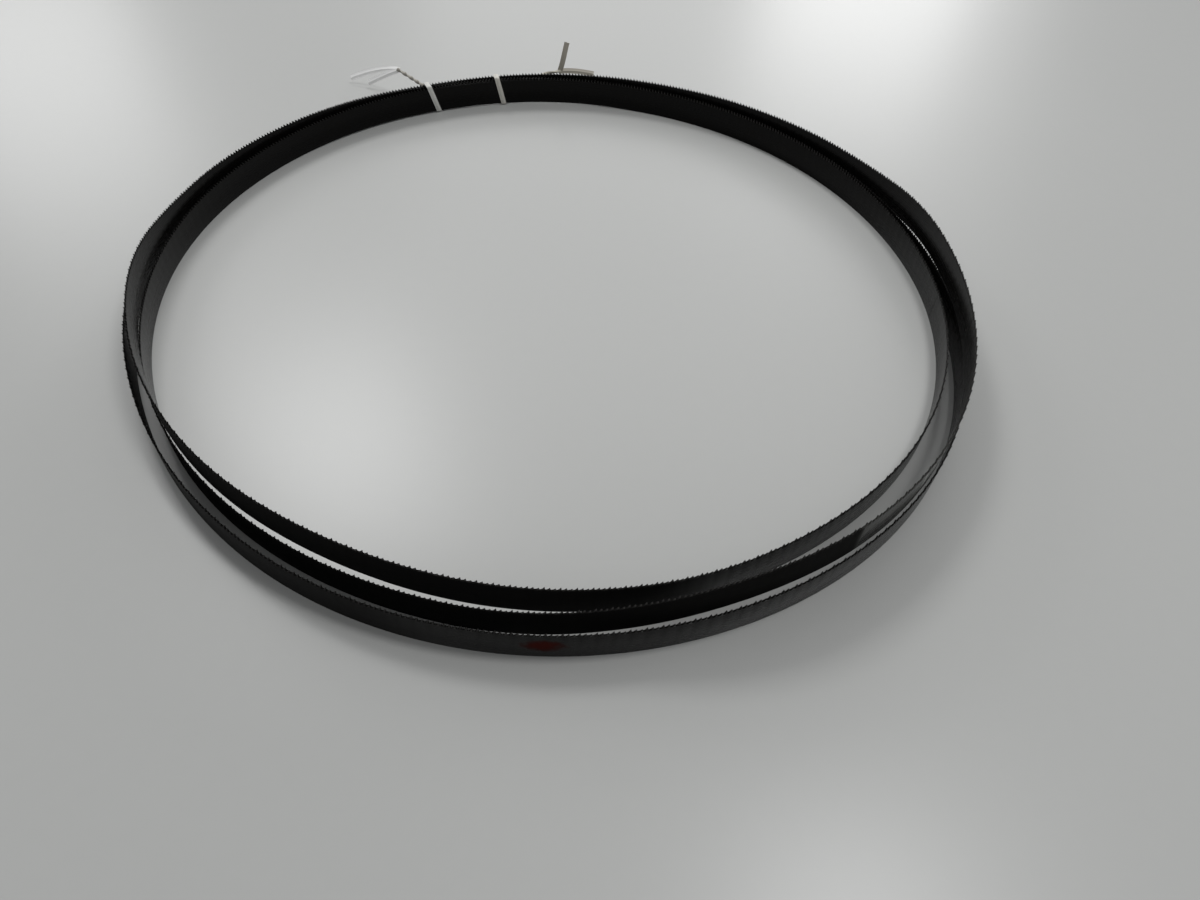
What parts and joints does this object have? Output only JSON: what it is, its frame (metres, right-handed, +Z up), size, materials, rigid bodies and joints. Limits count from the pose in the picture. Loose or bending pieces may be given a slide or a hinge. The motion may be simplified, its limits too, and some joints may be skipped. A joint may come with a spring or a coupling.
{
  "type": "band saw blade",
  "caption": "Endless toothed steel band for a band saw, folded into loops and held by twist ties.",
  "frame": {"origin": "on the surface under the middle of the coil's outline", "axes": "+Z up, away from the surface the coil rests on; +X to the right as the picture shows it"},
  "size_m": [0.5146, 0.5231, 0.0424],
  "materials": {
    "steel": "dark satin",
    "tie_white": "matt",
    "tie_tan": "matt"
  },
  "bodies": {
    "root": {"blade": "steel", "tie_left": "tie_white", "tie_right": "tie_tan"}
  },
  "joints": []
}
